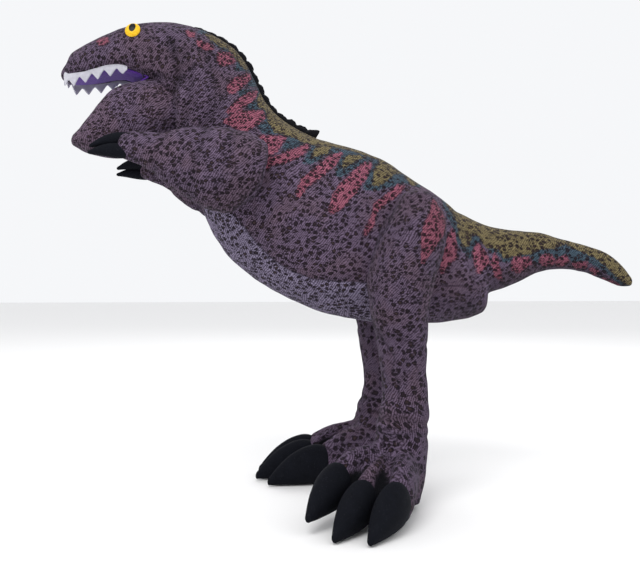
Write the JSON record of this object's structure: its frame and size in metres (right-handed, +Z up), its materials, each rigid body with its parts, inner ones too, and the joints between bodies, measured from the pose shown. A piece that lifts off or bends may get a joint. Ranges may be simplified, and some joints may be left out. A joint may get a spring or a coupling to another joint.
{
  "type": "stuffed dinosaur",
  "caption": "Standing two-legged stuffed dinosaur with sewn knit panels, open jaw with felt teeth, plush crest, short arms, velvet claws and soft joints.",
  "frame": {"origin": "floor point under the middle of the toy's bounding box; the soles and claws rest on Z = 0", "axes": "head towards -Y and tail towards +Y (the longest way), +Z up, the toy's left side towards +X"},
  "size_m": [0.2918, 0.5696, 0.4624],
  "materials": {
    "knit_mauve": "matte",
    "knit_dark": "matte",
    "stuffing": "matte",
    "pellets": "matte",
    "black_velvet": "matte",
    "black_plush": "matte",
    "white_felt": "matte",
    "violet_felt": "matte",
    "eye_yellow": "gloss"
  },
  "bodies": {
    "torso": {"torso_left_panel": "knit_mauve", "torso_right_panel": "knit_mauve", "belly_panel": "knit_dark", "torso_stuffing": "stuffing", "crest_back": "black_plush"},
    "head": {"head_left_panel": "knit_mauve", "head_right_panel": "knit_mauve", "head_top_gusset": "knit_dark", "throat_panel": "knit_dark", "palate_lining": "violet_felt", "head_stuffing": "stuffing", "upper_teeth": "white_felt", "eye_left": "eye_yellow", "eye_right": "eye_yellow", "crest_neck": "black_plush"},
    "jaw": {"jaw_skin": "knit_mauve", "jaw_lining": "violet_felt", "jaw_stuffing": "stuffing", "lower_teeth": "white_felt"},
    "arm_left": {"arm_left_skin": "knit_mauve", "arm_left_stuffing": "stuffing", "arm_left_claw_a": "black_velvet", "arm_left_claw_b": "black_velvet"},
    "arm_right": {"arm_right_skin": "knit_mauve", "arm_right_stuffing": "stuffing", "arm_right_claw_a": "black_velvet", "arm_right_claw_b": "black_velvet"},
    "leg_left": {"leg_left_outer_panel": "knit_mauve", "leg_left_inner_panel": "knit_dark", "leg_left_stuffing": "stuffing"},
    "leg_right": {"leg_right_outer_panel": "knit_mauve", "leg_right_inner_panel": "knit_dark", "leg_right_stuffing": "stuffing"},
    "foot_left": {"foot_left_upper": "knit_mauve", "foot_left_sole": "black_velvet", "foot_left_stuffing": "stuffing", "foot_left_pellet_bag": "pellets", "foot_left_claw_a": "black_velvet", "foot_left_claw_b": "black_velvet", "foot_left_claw_c": "black_velvet"},
    "foot_right": {"foot_right_upper": "knit_mauve", "foot_right_sole": "black_velvet", "foot_right_stuffing": "stuffing", "foot_right_pellet_bag": "pellets", "foot_right_claw_a": "black_velvet", "foot_right_claw_b": "black_velvet", "foot_right_claw_c": "black_velvet"},
    "tail_base": {"tail_base_left_panel": "knit_mauve", "tail_base_right_panel": "knit_mauve", "tail_base_stuffing": "stuffing"},
    "tail_tip": {"tail_tip_left_panel": "knit_mauve", "tail_tip_right_panel": "knit_mauve", "tail_tip_stuffing": "stuffing"}
  },
  "joints": [
    {"name": "neck_nod", "type": "hinge", "parent": "torso", "child": "head", "pos_m": [-0.0418, -0.1275, 0.3342], "axis": [1, 0, 0], "range_deg": [-15, 15], "stiffness_Nm_per_rad": 3},
    {"name": "jaw_hinge", "type": "hinge", "parent": "head", "child": "jaw", "pos_m": [-0.0418, -0.2, 0.404], "axis": [1, 0, 0], "range_deg": [-14, 5], "stiffness_Nm_per_rad": 0.4},
    {"name": "shoulder_left", "type": "hinge", "parent": "torso", "child": "arm_left", "pos_m": [0.0192, -0.115, 0.307], "axis": [1, 0, 0], "range_deg": [-25, 25], "stiffness_Nm_per_rad": 0.6},
    {"name": "shoulder_right", "type": "hinge", "parent": "torso", "child": "arm_right", "pos_m": [-0.1028, -0.115, 0.307], "axis": [1, 0, 0], "range_deg": [-25, 25], "stiffness_Nm_per_rad": 0.6},
    {"name": "hip_left", "type": "hinge", "parent": "torso", "child": "leg_left", "pos_m": [0.0192, 0.041, 0.258], "axis": [1, 0, 0], "range_deg": [-25, 25], "stiffness_Nm_per_rad": 8},
    {"name": "hip_right", "type": "hinge", "parent": "torso", "child": "leg_right", "pos_m": [-0.1028, 0.041, 0.258], "axis": [1, 0, 0], "range_deg": [-25, 25], "stiffness_Nm_per_rad": 8},
    {"name": "ankle_left", "type": "hinge", "parent": "leg_left", "child": "foot_left", "pos_m": [0.0202, 0.035, 0.0847], "axis": [0, 0, 1], "range_deg": [-25, 25], "stiffness_Nm_per_rad": 1.5},
    {"name": "ankle_right", "type": "hinge", "parent": "leg_right", "child": "foot_right", "pos_m": [-0.1038, 0.035, 0.0847], "axis": [0, 0, 1], "range_deg": [-35, 12], "stiffness_Nm_per_rad": 1.5},
    {"name": "tail_wag", "type": "hinge", "parent": "torso", "child": "tail_base", "pos_m": [-0.0418, 0.124, 0.2288], "axis": [0, -0.3249, 0.9457], "range_deg": [-20, 20], "stiffness_Nm_per_rad": 1.5},
    {"name": "tail_curl", "type": "hinge", "parent": "tail_base", "child": "tail_tip", "pos_m": [-0.0418, 0.2098, 0.2351], "axis": [1, 0, 0], "range_deg": [-25, 25], "stiffness_Nm_per_rad": 0.5}
  ]
}
